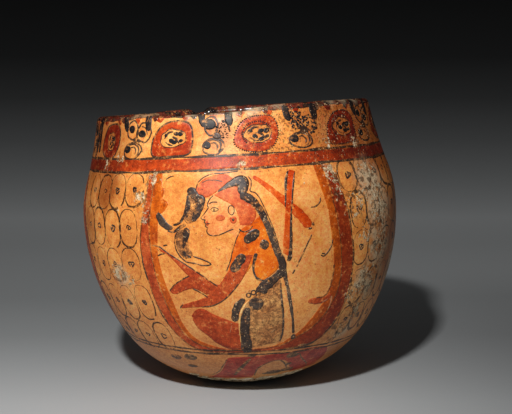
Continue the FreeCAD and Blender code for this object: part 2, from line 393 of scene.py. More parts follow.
def aged(name, slot, shades, cover=1.0, grain=0.3, thin=0.35, flecks=0.3, pits=0.3, gloss=0.0, patches=0.0,
         deep=0.0, veil=1.0, caked=1.0, shine=0.26):
    # a burnished coat: its tone drifts and speckles, it thins to the ground coat where rubbed,
    # and crust, flecks, pits and hair-fine scratches lie over it
    coat = Finish(name)
    between, times, total, mix = coat.between, coat.times, coat.total, coat.mix

    def noise(use):
        return coat.noise(*age["noises"][use])

    drift, mottle, fine = noise("drift"), noise("mottle"), noise("fine")
    blend, speckle = total(0.0, (drift, 0.4), (mottle, 0.6)), total(0.0, (fine, 0.5), (noise("dust"), 0.5))
    speckleTone = between(speckle, 0.36, 0.64)
    wanted = {"crusted": caked, "hazed": caked, "pitted": pits + flecks, "paintedShade": 1, "deepenedAndShaded": deep}
    crusted, hazed, pitted, paintedShade, deepenedAndShaded = (
        coat.places(age[kind] if share else []) for kind, share in wanted.items())

    ground = coat.ramp(between(blend, 0.36, 0.64), tones(age["ground"]))
    colour = ground = mix(ground, age["groundLow"], between(coat.z, 0.075, 0.012), 0.65)
    if shades:
        blotch = total(0.0, (blend, 1 - patches), (noise("blotch"), patches))
        # where deepened, paint turns to its darker tones and is multiplied darker: partly a deeper paint, partly
        # painted shade
        blotch = total(between(blotch, 0.37, 0.64), (deepenedAndShaded, -0.5 * deep))
        paint = mix(coat.ramp(blotch, tones(shades)), age["paintedShadeTone"], deepenedAndShaded, 0.6 * deep, "MULTIPLY")
        worn = total(0.0, (fine, 0.4), (noise("streak"), 0.6), (crusted, 0.06))
        colour = mix(paint, ground, between(worn, 0.62 - thin * 0.22, 0.7), min(thin * 1.7, 1.0))
        colour = mix(colour, ground, 1 - cover)
    colour = mix(colour, speckleTone, grain, blend="OVERLAY")
    pit = between(total(noise("pit"), (pitted, 0.115)), 0.7 - 0.1 * pits, 0.75 - 0.1 * pits)
    colour = mix(colour, age["soot"], pit, 0.62)
    # painted shade: the coat is multiplied darker in the shaded places
    colour = mix(colour, age["paintedShadeTone"], paintedShade, 0.75, "MULTIPLY")

    # hair-fine scratches: where a noise stretched along a slant crosses its middle value, kept in some places only
    line = coat.maths("ABSOLUTE", coat.maths("SUBTRACT", noise("scratch"), 0.5))
    scratch = times(between(line, 0.0028, 0.0008), between(noise("scratched"), 0.55, 0.6))
    colour = mix(colour, age["fleck"], scratch, 0.45)

    # crust: a pale haze in the crusted places, and flakes where a rough noise stands over a level that drops there
    colour = mix(colour, age["haze"], times(hazed, between(noise("haze"), 0.36, 0.6)), 0.78 * veil)
    colour = mix(colour, age["gap"], times(crusted, between(noise("gap"), 0.54, 0.58)), 0.75)
    flake = total(0.0, (noise("lump"), 0.4), (noise("flake"), 0.6))
    crust = between(coat.maths("SUBTRACT", flake, total(0.66, (crusted, -0.145))), 0.0, 0.02)
    colour = mix(colour, coat.ramp(speckleTone, tones(age["crust"]), (0.0, 0.36, 0.7, 1.0)), crust, 0.78)
    scatter = total(noise("fleck"), (pitted, 0.05))
    colour = mix(colour, age["fleck"], between(scatter, 0.72 - 0.1 * flecks, 0.77 - 0.1 * flecks), 0.6)

    rough = coat.maths("MAXIMUM", total(age["roughness"] - gloss, (mottle, 0.3)), times(crust, 0.8))
    relief = total(0.0, (speckle, 0.16), (mottle, 0.5), (crust, 0.45), (pit, -0.3), (drift, 1.2))
    return coat.finish(colour, rough, relief, age["relief"], **{"Specular IOR Level": shine, "IOR": 1.48}), slot


def bareClay():
    coat = Finish("bare_clay")
    grain = coat.noise(240, 6, 0.7)
    colour = coat.ramp(grain, tones([(150, 100, 66), (196, 146, 100), (214, 172, 128)]), (0.3, 0.5, 0.7))
    relief = coat.total(grain, (coat.noise(900, 3, 0.6), 0.4))
    return coat.finish(colour, coat.total(0.62, (grain, 0.2)), relief, 0.0003), "fired_clay"


# Each paint with its slot and its tones from dark to light
paints = {
    "ground": aged("orange_ground_slip", "orange_ground_slip", None, flecks=0.1, pits=0.45),
    "inside": aged("inside_slip", "inner_slip", [(140, 74, 40), (180, 104, 58), (206, 138, 86)], thin=0.5, pits=0.7,
        patches=0.5, caked=0),
    "lip": aged("lip_dark_red", "dark_red_slip", [(26, 20, 18), (50, 32, 24), (120, 44, 28), (74, 62, 46),
        (164, 122, 86)], thin=0.45, flecks=0.5, pits=0.2, gloss=0.16, patches=0.7, shine=0.6),
    "band": aged("band_red", "red_slip", [(144, 46, 16), (184, 64, 18), (202, 86, 30)], thin=0.4, patches=0.4,
        deep=0.6, gloss=-0.06),
    "darkRed": aged("frame_red", "dark_red_slip", [(142, 46, 18), (176, 68, 26), (196, 92, 42)], thin=0.38,
        patches=0.4, deep=0.5),
    "orange": aged("body_orange", "orange_paint", [(190, 72, 8), (222, 98, 10), (234, 126, 28)], thin=0.5),
    "ovalOrange": aged("ring_orange", "orange_paint", [(160, 60, 12), (196, 88, 14), (216, 118, 34)], thin=0.4,
        patches=0.4, deep=0.35),
    "black": aged("line_black", "black_slip", [(26, 23, 24), (46, 42, 42), (80, 70, 62)], cover=0.97, thin=0.5,
        flecks=1.0, pits=0.0, patches=0.4, veil=0.5),
    "line": aged("thin_line_black", "black_slip", [(26, 23, 22), (44, 38, 36), (84, 66, 52)], cover=0.95, thin=0.6,
        flecks=0.45, pits=0.0, patches=0.4, veil=0.4),
    "dab": aged("rim_black", "black_slip", [(18, 16, 18), (36, 30, 30), (70, 56, 46)], thin=0.35, flecks=0.4,
        pits=0.0, gloss=-0.1, patches=0.4, veil=0.4),
    "umber": aged("frame_line_umber", "dark_red_slip", [(48, 22, 14), (80, 34, 20), (126, 56, 28)], cover=0.9,
        thin=0.75),
    "brown": aged("brown_wash", "black_slip", [(118, 74, 42), (160, 104, 60), (194, 140, 84)], grain=0.5, thin=0.6,
        pits=0.95),
    "brick": aged("brick_red", "dark_red_slip", [(146, 46, 16), (176, 66, 26), (194, 88, 40)], thin=0.45,
        patches=0.3),
    "hat": aged("light_red", "red_slip", [(184, 64, 28), (204, 90, 42), (220, 124, 68)], thin=0.5, patches=0.4,
        gloss=-0.12),
    "petal": aged("petal_red", "dark_red_slip", [(140, 40, 30), (170, 60, 44), (190, 92, 66)], thin=0.36,
        patches=0.5),
    "bar": aged("bar_red", "red_slip", [(176, 52, 8), (206, 72, 12), (220, 100, 30)], thin=0.45),
    "ring": aged("ring_red", "dark_red_slip", [(142, 38, 14), (182, 60, 18), (206, 90, 34)], thin=0.5, patches=0.4,
        deep=0.4),
    "scaleLine": aged("scale_line", "black_slip", [(36, 26, 18), (56, 38, 26), (100, 66, 38)], cover=0.96, thin=0.65,
        veil=0.3),
    "smoke": aged("smoky_black", "black_slip", [(38, 34, 30), (62, 54, 46), (118, 98, 76)], cover=0.9, thin=0.75,
        flecks=0.8, patches=0.5),
    "crumb": aged("foot_crumbs", "fired_clay", [(128, 104, 72), (192, 172, 136), (234, 218, 186)], thin=0.2,
        flecks=0.6, patches=0.6, gloss=-0.2),
    # dark crumbs at the foot: partly dark crust, partly painted shade along the lowest edge
    "soot": aged("foot_soot_and_shade", "black_slip", [(20, 16, 14), (40, 30, 24), (72, 54, 40)], thin=0.3, flecks=0.3,
        patches=0.5, gloss=-0.2),
    "skin": aged("figure_skin", "orange_paint", [(222, 132, 68), (236, 156, 88), (244, 182, 118)], thin=0.4),
    "cream": aged("pale_outline", "orange_paint", [(222, 156, 84), (236, 178, 104), (244, 196, 128)], thin=0.4),
    "clay": bareClay(),
}
print("materials made:", len(paints))

# The coats
turnAll = 2 * pi * bowl["belly"]


def around(count):
    return np.linspace(0, turnAll, count, endpoint=False)


def arc(start, end, count):
    # points of a circle of one, without the first
    angle = np.linspace(start, end, count)[1:, None]
    return np.concatenate([np.cos(angle), np.sin(angle)], -1)


def buildCoats():
    u = around(360)
    foot = heightLine(u, bowl["footClear"])
    v = foot + (lipStart + 0.4 - foot) * np.linspace(0, 1, 170)[:, None]
    v = np.concatenate([v[:1], v, v[-1:]])
    lift = np.zeros(v.shape)
    lift[[0, -1]] = -bowl["slip"]
    pieceFrom("ground_slip_outside", [(wallAt(u, v, lift), True)], "ground", "outer_slip")

    # the inside, whose last mm are spaced towards the middle of its floor
    last = 30
    floor = innerEnd - last * (1 - np.linspace(0.04, 1, 30) ** 0.8)
    inner = np.concatenate([np.linspace(innerStart + 1, innerEnd - last, 130), floor])
    pieceFrom("slip_inside", [(wallAt(u, inner[:, None] + 0 * u), True)], "inside", "inner_slip")

    # bare foot: flat disc, round edge and the cap's ball, about the upright through the foot
    rounded = bowl["footRound"]
    centre = np.array([sqrt((ball - rounded) ** 2 - (leanPivot - rounded) ** 2), rounded])
    toBall = np.arctan2(centre[1] - leanPivot, centre[0])
    flat = np.stack([np.linspace(0.01, centre[0], 10), np.zeros(10)], -1)
    edge = centre + rounded * arc(-pi / 2, toBall, 14)
    rise = np.array([0, leanPivot]) + ball * arc(toBall, toBall + 0.22, 16)
    outline = np.concatenate([flat, edge, rise])
    angle = circle(180)
    reach, height = outline[:, :1], outline[:, 1:]
    grid = np.stack([reach * np.sin(angle), -reach * np.cos(angle), height + 0 * angle], -1)
    pieceFrom("clay_foot", [(grid * mm, True)], "clay", "clay_body")


def buildLip():
    # dark paint over the lip, with an uneven lower edge on each side
    u = around(480)
    azimuth = u / bowl["belly"]
    ragged = 0.5 * np.sin(9 * azimuth + 1) + 0.4 * np.sin(23 * azimuth) * np.sin(5 * azimuth + 2)
    ragged = ragged + 0.25 * np.sin(61 * azimuth + 0.7)
    outer, inner = lipStart - 0.4 + ragged * 0.7, innerStart + bowl["lipPaint"] + ragged
    v = outer + (inner - outer) * np.linspace(0, 1, 26)[:, None]
    lift = np.full(v.shape, 0.06)
    lift[[0, -1]] = -0.05
    pieceFrom("lip_paint_dark", [(wallAt(u, v, lift), True)], "lip", "lip_paint")


# Bands round the wall: the shoulder's upper edge where it crosses x = 0 before the lean, and its slope in degrees
shoulder = {"top": 116.2, "width": 5.4, "line": 0.9, "tilt": bowl["lean"] - 0.92}
basal = {"height": 23.0, "line": 0.8, "gap": 1.1}


def bandBetween(name, low, high, slope, paint, node, layer):
    # a band between two heights, each with a slightly shaky edge
    u = around(420)
    chance = np.random.default_rng(len(name)).uniform
    azimuth = u / bowl["belly"]
    lowV, highV = (
        heightLine(u, height, slope) + 0.12 * sum(np.sin(n * azimuth + chance(0, 6)) for n in (7, 12, 19, 33))
        for height in (low, high))
    share = np.concatenate([[0, 0.03], np.linspace(0.15, 0.85, 6), [0.97, 1]])[:, None]
    grid = wallAt(u, lowV + (highV - lowV) * share, liftOf((len(share), len(u)), layer))
    pieceFrom(name, [(grid, True)], paint, node)


def buildBands():
    slope = np.tan(radians(shoulder["tilt"]))
    up = shoulder["top"] - leanPivot
    top = leanPivot + up * cos(lean) + slope * up * sin(lean)
    foot, line = top - shoulder["width"], shoulder["line"]
    bandBetween("band_red_shoulder", foot, top, slope, "band", "shoulder_band", 1)
    bandBetween("band_line_upper", top - 0.2, top + line, slope, "line", "shoulder_line_upper", 2)
    bandBetween("band_line_lower", foot - line, foot + 0.2, slope, "line", "shoulder_line_lower", 2)
    height = basal["height"]
    for name in ("basal_line_lower", "basal_line_upper"):
        bandBetween("painted_" + name, height, height + basal["line"], 0.0, "line", name, 2)
        height += basal["line"] + basal["gap"]


# Framed oval, as three outlines that run down the left side, round the foot and up the right side
oval = {
    "outer": [(-43.8, 25.6), (-44.6, 15), (-46.6, 5), (-48.6, -5), (-48.9, -14), (-47.8, -25), (-46.4, -37),
        (-43.2, -48), (-37, -57.5), (-28, -62.7), (-12, -64.2), (8, -64.7), (28, -64.6), (38, -64), (45, -61.3),
        (50, -57), (53.5, -51), (55.8, -42), (57, -31), (56.8, -20), (55.2, -10), (53.6, 0), (51.8, 9), (50.3, 16),
        (47.4, 24.4)],
    "middle": [(-40.8, 25.9), (-41.4, 15), (-42.6, 5), (-43.2, -5), (-43.1, -14), (-42.2, -25), (-40.4, -37),
        (-37.8, -47), (-33.4, -55), (-25.5, -60), (-12, -62.4), (8, -62.9), (20, -61.6), (27, -58.6), (34, -55.2),
        (40, -51), (45, -44.5), (48.5, -37), (49.6, -27), (48.8, -16), (47.3, -5), (45.6, 5), (44.9, 11), (44.2, 16),
        (43, 24.8)],
    "inner": [(-36.4, 26.1), (-36, 16), (-37.6, 6), (-38.7, -3), (-39.6, -12), (-38.4, -24), (-36.2, -36),
        (-34.6, -46), (-30.5, -54), (-22.5, -58.8), (-11, -61.9), (8, -62.5), (17, -61.1), (24, -58), (30, -54),
        (34.5, -49), (39, -43), (43, -36), (44.7, -27), (44.3, -17), (42.8, -7), (42.2, 0), (41, 8), (39.4, 15),
        (38, 25)],
    "flame": [[(-38.8, 21), (-38.9, 17), (-39, 13), (-39, 10), (-39, 8), (-39, 6)], [(-38.5, 21), (-34.8, 18.5),
        (-35.2, 14.5), (-32.6, 12.2), (-34.2, 9), (-38.4, 6)]],
    "hook": [(31.6, -38.4, 1.6), (34.5, -38.8, 2.9), (38.5, -39.2, 3), (42.5, -38.6, 2.4), (45, -36.5, 2)],
    "hookLine": [(36, -37.3), (39, -37.4), (41.6, -36.4), (43.6, -33), (44.6, -28), (44.9, -22)],
    "line": 0.62,
    "dark": [[(49.8, 20, 0.5), (50.6, 15, 0.9), (51.6, 10.5, 0.4)], [(52.4, 7, 0.4), (53.6, 1, 0.8), (54.6, -4, 0.6),
        (55.4, -8.4, 0.3)], [(56, -11.6, 0.5), (56.8, -18, 1), (57, -25, 0.6)], [(57, -27.6, 0.6), (57.1, -33, 1.2),
        (56.4, -38.6, 0.7), (55.6, -43, 0.3)], [(54, -48.4, 0.5), (51, -54.6, 1), (46.4, -60, 0.6)],
        [(43.4, -62, 0.6), (38.6, -64.2, 1.3), (33, -64.8, 0.5)], [(-48.8, -11, 0.5), (-48.8, -17, 1),
        (-47.9, -24, 0.7)], [(-46.6, -36, 0.7), (-45.4, -41, 1.2), (-43.8, -46, 0.6)], [(46, 23.6, 0.9), (48, 20, 1),
        (49.6, 15, 0.7)]],
}
ovalTurns = {"front": 0.0, "right": 125.3, "left": -109.6}   # degrees round from the front

# The seated figure in the oval, facing left; places are mm round and mm up from the belly at the front.
# Its profile is calm and of plain proportions: eye halfway down the head, nose foot halfway from brow to chin
figure = {
    # fills: layer, columns, and two edges, the first to the left of the way both run
    "head": (2, 8, [(-3.4, 17.4), (-2.4, 15.6), (-1.6, 13.6), (-1, 11.8), (-0.6, 10), (-0.4, 8.4), (-0.2, 6.8),
        (-0.2, 5.4), (-0.2, 4), (-0.4, 2.8), (-1, 1.6), (-2, 0.6), (-3.4, -0.4), (-5.4, -1.4), (-8.6, -2.6)],
        [(-11, 14.7), (-12.9, 12.8), (-13.8, 10.6), (-13.6, 9.2), (-15.3, 7), (-17, 5.2), (-16.3, 4.3), (-15, 4.1),
        (-15.7, 3.1), (-14.9, 2.3), (-15.4, 1.4), (-14.4, 0.4), (-14.9, -1), (-14, -2.5), (-11.8, -3.1)]),
    "neck": (1, 6, [(4.6, 5), (8.4, 3), (10, -1)], [(-6.8, -1.8), (-3.6, -3), (-2, -5.2)]),
    "hat": (4, 8, [(-18.9, 16.2), (-18.6, 18.8), (-16.6, 21.4), (-13, 23.2), (-8, 24), (-4.4, 23.6), (-1.8, 21.8)],
        [(-18.9, 16.2), (-16.9, 14.8), (-14.2, 13.9), (-11.4, 14.9), (-8, 17), (-5, 19.4), (-1.8, 21.8)]),
    "headcloth": (4, 8, [(-3.4, 19.6), (2, 16.4), (6.6, 9.4), (7.4, 4.2), (4.6, 0.2)], [(-11, 14.8), (-7.4, 12.6),
        (-3.2, 9.9), (-0.8, 6), (0, 0.6)]),
    "torso": (3, 12, [(8.9, 4.4), (12, -3.6), (13, -10), (7, -14.5), (1, -21.6)], [(0.4, -0.8), (-2, -5.2), (-4, -10),
        (-5.3, -15), (-7.2, -20.6)]),
    "belly": (4, 10, [(12.6, -5.6), (15, -12), (17, -16.6), (15.4, -20.9), (9, -25.3)], [(8, -7.4), (5.4, -13),
        (4.6, -18), (5.3, -22.4), (9, -25.3)]),
    "forearm": (3, 8, [(-39.4, -7.6), (-35, -10.1), (-30, -13.6), (-25, -17.1), (-20, -20.8), (-15, -24.7),
        (-10.6, -26.2)], [(-38.2, -9.4), (-34.2, -11.5), (-30.6, -15.4), (-26.8, -20), (-23, -24), (-19, -29),
        (-14.6, -32.6)]),
    "hand": (3, 8, [(-37, -28.2), (-34, -25.5), (-30, -23.1), (-25.6, -21.3), (-20, -21.8)], [(-36.4, -29.6),
        (-33.4, -30), (-28.6, -28.2), (-23.5, -27.5), (-17.6, -31)]),
    "upperArm": (4, 8, [(-33.2, -36), (-28, -34.4), (-22, -32.8), (-17.6, -30.8), (-13, -27), (-10.2, -24.2),
        (-7.8, -20.8), (-3.8, -17.2), (0, -12.6)], [(-32.6, -37.4), (-27, -36.9), (-20, -36.6), (-14, -35.5),
        (-9, -33), (-4.2, -28.4), (-0.6, -23.8), (2.4, -18.6), (5, -12.4)]),
    "thigh": (3, 14, [(-28.4, -41.4), (-25.2, -38.2), (-21.4, -37.7), (-17, -40.4), (-10, -44), (-4.4, -46.6)],
        [(-28.4, -43.6), (-26.6, -48.4), (-22, -53.5), (-18, -58), (-11, -61.9), (-3.6, -62.4)]),
    "cloth": (2, 18, [(17.3, -25.2), (17.9, -34), (18.9, -44), (19.1, -53), (17.2, -60)], [(2.6, -33.4),
        (-0.6, -38.4), (-2.8, -45), (-3.4, -54), (-3.6, -62.4)]),
    "plume": (3, 8, [(-19.4, 18.8), (-18.4, 15.8), (-15.2, 13.6), (-16.4, 9.6), (-18.2, 5.6), (-21.4, 3)],
        [(-22.8, 18.6), (-23.2, 16.6), (-23.2, 13.4), (-24.3, 9.4), (-25.5, 5.4), (-23.4, 2.6)]),
    "pendant": (3, 8, [(-22.8, 0.6), (-23.8, -4.4), (-23.6, -7.4), (-22.6, -9.6), (-22.4, -12)], [(-27.6, 0.4),
        (-29.4, -2.6), (-29.8, -6.4), (-28.8, -10), (-26.6, -12.8)]),
    "bar": (4, 8, [(28.1, 22.9), (26.4, 18.4), (24.8, 12), (23.5, 5), (22.8, -2), (22.4, -8), (21.9, -15.8)],
        [(25.2, 23.9), (23.3, 20), (21.9, 14), (20.6, 5), (19.7, -2), (18.8, -8), (18.5, -13.6)]),
    # heavy lines with a width at each point, and those that lie over them
    "heavy": {
        "knot": [(-9, 16.2, 0.8), (-5.6, 18, 1.8), (-2.4, 19.4, 3.2), (1.2, 20.4, 4.6), (2.6, 19, 4.8), (2.2, 16, 4),
            (1.8, 14, 4.2)],
        "hair": [(1, 14.6, 4.2), (4, 12.8, 3.6), (6.8, 10.6, 3.1), (9.2, 7, 2.9), (10.9, 3, 2.8), (12.6, -1.6, 2.7),
            (14.2, -7.2, 2.6), (16, -12.6, 3), (17.7, -17, 3.4), (18.6, -22.6, 3)],
        "clothStrip": [(1, -38, 2.6), (-0.4, -42.4, 3.4), (-1.2, -47, 4), (-1.9, -52, 4.2), (-1.4, -57, 4.6),
            (-1.4, -62.2, 4.4), (-0.4, -64.8, 3.8)],
        "clothEdge": [(17.2, -27, 0.5), (17.5, -34, 1), (18.4, -41, 0.9), (19.1, -49, 1), (19, -55, 0.9),
            (17.8, -59.4, 0.6)],
        "longLine": [(18.6, -20.6, 2.4), (19.8, -27, 1.6), (21.4, -34, 1.6), (22.9, -41, 1.4), (24.3, -48, 1.1),
            (25.5, -55.4, 1.3)],
        "bellyLine": [(6.5, -12.2, 1.7), (5.6, -14.2, 1.7), (4.7, -18, 1.1), (4.9, -21.8, 0.9), (6.4, -24.3, 1),
            (9.6, -25.4, 0.8)],
        "pendantDark": [(-23.9, 1, 2.6), (-24.4, -1.4, 3.2), (-24.9, -4, 2.4), (-26.4, -8, 1), (-25.6, -11.4, 1.6),
            (-23, -12.4, 1)],
    },
    "overlaid": {
        "spots": [[(1.4, -6.9, 3.2), (4.2, -4.9, 4.2), (7, -3, 4), (8.4, -2.4, 2.6)], [(8, -9.2, 3.6),
            (10, -8.7, 4.3), (12.3, -8.2, 3.8)], [(-5.2, -20, 3.2), (-3.2, -17.4, 4), (-0.8, -14.3, 4),
            (1.2, -12.6, 3)]],
        "belt": [[(-6.2, -45.2, 3), (-5.6, -40.8, 3.2), (-3.6, -36.6, 3), (-0.4, -33.6, 2.2)], [(5.2, -30, 1.8),
            (8.2, -28.8, 4.4), (11.4, -26.8, 4.4), (14.6, -24.6, 3.4), (18.4, -21.6, 3.8)], [(7.6, -31, 2.4),
            (10.6, -29.8, 3.2)]],
        "barLines": [[(24.6, 23.2, 0.8), (22.9, 19, 1.2), (21.9, 14, 1), (20.8, 7, 0.6)], [(27.8, 22.4, 0.5),
            (25.9, 16.4, 0.9), (24.4, 10, 0.7), (23.1, 2, 1), (22.5, -6, 1.3), (22.1, -12, 1.6), (21.4, -16.2, 2),
            (20.2, -16.8, 1.4)]],
        "plumeDark": [[(-21.4, 19, 3.4), (-21, 16.8, 4.2), (-19, 14.4, 3.4), (-17.2, 12.8, 4.4), (-17.6, 9.8, 3.4),
            (-19.2, 6.4, 2.8), (-20.8, 3.6, 1.6)], [(-22.9, 15.4, 1), (-23.8, 10, 0.9), (-25.1, 6, 1.1),
            (-27.2, 3.2, 1.2), (-30.4, 2.3, 0.9)], [(-37.6, 8.2, 1.6), (-37.2, 6.2, 3), (-35.6, 3.6, 3.3),
            (-33.2, 1.6, 2.7), (-30.6, 0.9, 1.4)], [(-33.4, -0.2, 0.8), (-30.4, -0.7, 0.9), (-27.6, 0.9, 1.5),
            (-24.2, 2.6, 1.1)], [(-22.6, 13.4, 1.6), (-23, 9.4, 2), (-23.6, 5.6, 1.4)]],
    },
    # fine lines of one width
    "fine": {
        "hatAndBack": (0.5, [(-18.8, 15.6), (-19, 18.2), (-17.6, 21.2), (-14.8, 23.3), (-10.6, 24.4), (-5, 24.4),
            (1, 24.9)], [(-16.4, 20.4), (-13.4, 21.6), (-9.8, 21.4), (-6.5, 20.6)], [(5.4, 22.2), (6.5, 20.2),
            (6.4, 17.8), (5.7, 15.6), (8, 14.3), (9.8, 11.6), (11.6, 7), (13.4, 2), (14.9, -3), (16.6, -9.6)],
            [(0.2, -1.2), (-1.9, -5), (-3.9, -10), (-5.4, -14.6), (-7.6, -19.6)]),
        "arm": (0.62, [(-42, -6.6), (-38.4, -7.4), (-35, -9.8), (-30, -13.2), (-25, -16.7), (-20, -20.4),
            (-15.4, -24.3), (-12.4, -26.6)], [(-36.9, -28.4), (-33.6, -25.4), (-29.2, -22.9), (-25.4, -21.1)],
            [(-24.6, -27.4), (-21, -29.4), (-17.8, -32)], [(-22, -36.7), (-16, -36.1), (-10.4, -33.4), (-5.6, -29.2),
            (-2.6, -25.8)], [(-40, -11.6), (-38, -10.8), (-36, -10.6)], [(-36.4, -6.9), (-34, -6.6)], [(-33.4, -37.6),
            (-32.8, -36.4), (-31.4, -35.4)]),
        "pendant": (0.6, [(-28.2, -0.2), (-30, -3.2), (-30.3, -6.6), (-29.5, -10), (-27.8, -12.6), (-25.3, -14.6),
            (-21.8, -15.3), (-17.8, -16.4), (-14.3, -15.9), (-17.8, -13.8), (-22.2, -11.9)], [(-26, -13),
            (-24.6, -12.2)]),
        "curls": (0.65, [(33, 5.6), (36, 6.1), (38, 7.8), (38.6, 9.6)], [(37, -16.4), (38.8, -17.1), (41, -15.6),
            (43, -13), (43.8, -10)], [(37.6, -15.8), (39.4, -16.2)], [(32.6, -6.4), (30, -11), (27, -16.5),
            (24.8, -20.5)], [(24, -21.6), (22.8, -23.6)], [(-34.4, 22.8), (-32.4, 23.9), (-30.2, 24.3)],
            [(-0.6, -0.6), (0.6, -1.9), (2.4, -2.3), (4.4, -1.3), (5.6, 0.2)]),
    },
    "diagonal": [(7.6, 22, 1.4), (13, 17.6, 2.2), (18, 12.6, 2.7), (23, 7.6, 3.4), (28, 2.4, 4.3), (32, -3, 3.6)],
    "clothGlow": [(-4.4, -58, 0.3), (-4.5, -52, 0.5), (-4.1, -46.5, 0.7), (-2.8, -41, 0.8), (-0.6, -37, 0.8),
        (1.6, -34.6, 0.4)],
    "darkDots": [(5.1, -36.6, 6.6, 6.9), (25.8, -57.6, 2.6, 3), (33.6, -1.8, 1.2, 1.6), (31.8, -3.6, 2.2, 1)],
    "beads": [(1.6, -31.9), (4, -30.7), (6.2, -31.5)], "jaw": [(-8.6, -2.6), (-5.4, -1.4), (-2.8, -0.6)],
    "face": [(0.6, [(-13.2, 10.9), (-11.6, 11.7), (-9.2, 11.5)]), (0.55, [(-12.7, 8.4), (-11.4, 9.2), (-9.9, 9),
        (-8.8, 8.2)]), (0.4, [(-12.5, 8.1), (-11, 7.6), (-9, 8)]), (0.45, [(-15.3, 2.3), (-13.9, 2.4), (-13.1, 2.2)]),
        (0.4, [(-15.7, 5.1), (-15.1, 5.7)])],
    "ear": [(-3.9, 9.6), (-4.7, 8), (-4.2, 6.1), (-3, 5.6), (-2.1, 7.2), (-2.3, 9)], "pupil": (-11, 8.4, 1.2, 1.2),
    "earring": (-2.8, 3.4, 3.4, 3.4), "earringDot": (-2.8, 3.4, 1.4, 1.4), "eye": (-10.9, 8.4, 3, 1.3),
    "blush": [(-14.5, 2.5, 1.7, 2.2), (-8.4, 4.6, 4.2, 3)],
}


def sides():
    return [(side, radians(turn) * bowl["belly"]) for side, turn in ovalTurns.items()]


def buildOval(side, turn):
    outer, middle, inner = oval["outer"], oval["middle"], oval["inner"]
    pieceFrom("oval_red_" + side, [patch([middle, outer], 1, turn)], "darkRed", "oval_frame_red_" + side)
    orange = [patch([inner, middle], 2, turn), patch(oval["flame"], 2, turn, 6)]
    pieceFrom("oval_orange_" + side, orange, "ovalOrange", "oval_frame_orange_" + side)
    lines = strokes([outer, middle], 4, oval["line"], turn) + [stroke(oval["hookLine"], 5, 0.8, turn)]
    pieceFrom("oval_lines_" + side, lines, "umber")
    pieceFrom("oval_dark_edges_" + side, strokes(oval["dark"], 5, turn=turn), "line")


def buildFigure(side, turn):
    def paint(name, colour, grids):
        pieceFrom("figure_" + name + "_" + side, grids, colour)

    def fills(*names):
        return [patch(edges, layer, turn, columns) for layer, columns, *edges in (figure[name] for name in names)]

    def heavy(paths, layer):
        return strokes(paths, layer, turn=turn)

    paint("skin", "skin", fills("head", "neck"))
    paint("torso", "orange", fills("torso", "belly"))
    paint("arms_and_thigh", "brick", fills("forearm", "hand", "upperArm", "thigh") + heavy([oval["hook"]], 3))
    paint("hat_and_headcloth", "hat", fills("hat", "headcloth"))
    paint("cloth", "brown", fills("cloth", "plume", "pendant"))
    paint("bar_and_stroke", "bar", fills("bar") + heavy([figure["diagonal"]], 3))
    overlaid = sum(figure["overlaid"].values(), [])
    dark = heavy(overlaid, 6) + heavy(figure["heavy"].values(), 5) + dots(figure["darkDots"], 6, turn)
    paint("dark_shapes", "black", dark)
    fine = [line for width, *paths in figure["fine"].values() for line in strokes(paths, 6, width, turn)]
    front = figure["head"][3]
    face = [(0.55, front[:8]), (0.55, front[7:] + figure["jaw"])] + figure["face"]
    fine += [stroke(path, 6, width, turn, shake=0.03) for width, path in face]
    fine += [stroke(figure["ear"], 6, 0.5, turn, closed=True), dot(*figure["pupil"], 6, turn)]
    fine.append(dot(*figure["earringDot"], 7, turn))
    beads = [[(u + 1.1 * cos(t), v + 1.1 * sin(t)) for t in (0, 1.26, 2.51, 3.77, 5.03)] for u, v in figure["beads"]]
    paint("fine_lines", "line", fine + strokes(beads, 6, 0.6, turn, closed=True))
    paint("blush", "hat", dots(figure["blush"], 3, turn) + [dot(*figure["earring"], 5, turn)])
    paint("pale_edges", "cream", heavy([figure["clothGlow"]], 7) + [dot(*figure["eye"], 4, turn)])


# Rows of scales between the ovals: middle height, height, how far the row starts from the edge of a field
# to the left and to the right of an oval, and how heavy its lines are
scales = {
    "rows": [(18.0, 15.8, 1.0, -0.8, 1.0), (1.0, 17.6, -2.2, 3.0, 1.0), (-16.8, 16.4, -3.6, 4.4, 0.6),
        (-36.0, 18.0, -1.0, 5.6, 0.9), (-54.2, 16.4, 2.0, 3.0, 1.0)],
    "fields": [(-53.5, -93.0), (57.5, 124.0), (236.0, 299.0)],
    "step": 11.4, "width": 11.8, "line": 0.78, "mark": 2.9,
}


def buildScales():
    # each outline is a rounded box drawn in one go: its two waves are drawn towards their ends by a power under one
    outlines, marks = [], []
    for row, (middle, tall, leftShift, rightShift, strength) in enumerate(scales["rows"]):
        chance = np.random.default_rng(row + 5).uniform
        for first, last in scales["fields"]:
            way = 1 if last > first else -1
            start = first + (rightShift if way > 0 else leftShift)
            for u in np.arange(start, last, way * scales["step"] * (1 + 0.02 * row)):
                u, v = u + chance(-0.5, 0.5), middle + chance(-0.6, 0.6)
                wide, high = scales["width"] * chance(0.94, 1.03), tall * chance(0.96, 1.03)
                angle = chance(0, 2 * pi) + np.linspace(0, 2 * pi * chance(0.9, 1.02), 18)
                across, upward = (np.sign(wave) * np.abs(wave) ** 0.84 for wave in (np.cos(angle), np.sin(angle)))
                line = scales["line"] * strength * (0.95 + 0.5 * np.sin(angle + chance(0, 6)))
                line = line * (1.35 if way > 0 else 1.0)
                path = np.stack([u + wide / 2 * across, v + high / 2 * upward, line], -1)
                outlines.append(stroke(path.tolist(), 0, shake=0.12))
                size = scales["mark"] / 2 * chance(0.75, 1.25)
                turn = chance(0, 6) + np.array([0, 1.8, 2.3, 3.9, 4.4, 5.8])
                curl = np.stack([u + 0.4 + 1.1 * size * np.cos(turn), v + 0.3 + 0.85 * size * np.sin(turn)], -1)
                marks.append(stroke(curl.tolist(), 1, chance(0.6, 1.1), shake=0.1))
                if chance() < 0.4:
                    marks.append(dot(u + 0.4, v + 0.3, 1.2, 1.0, 1))
    pieceFrom("scale_outlines", outlines, "scaleLine")
    pieceFrom("scale_marks", marks, "black")


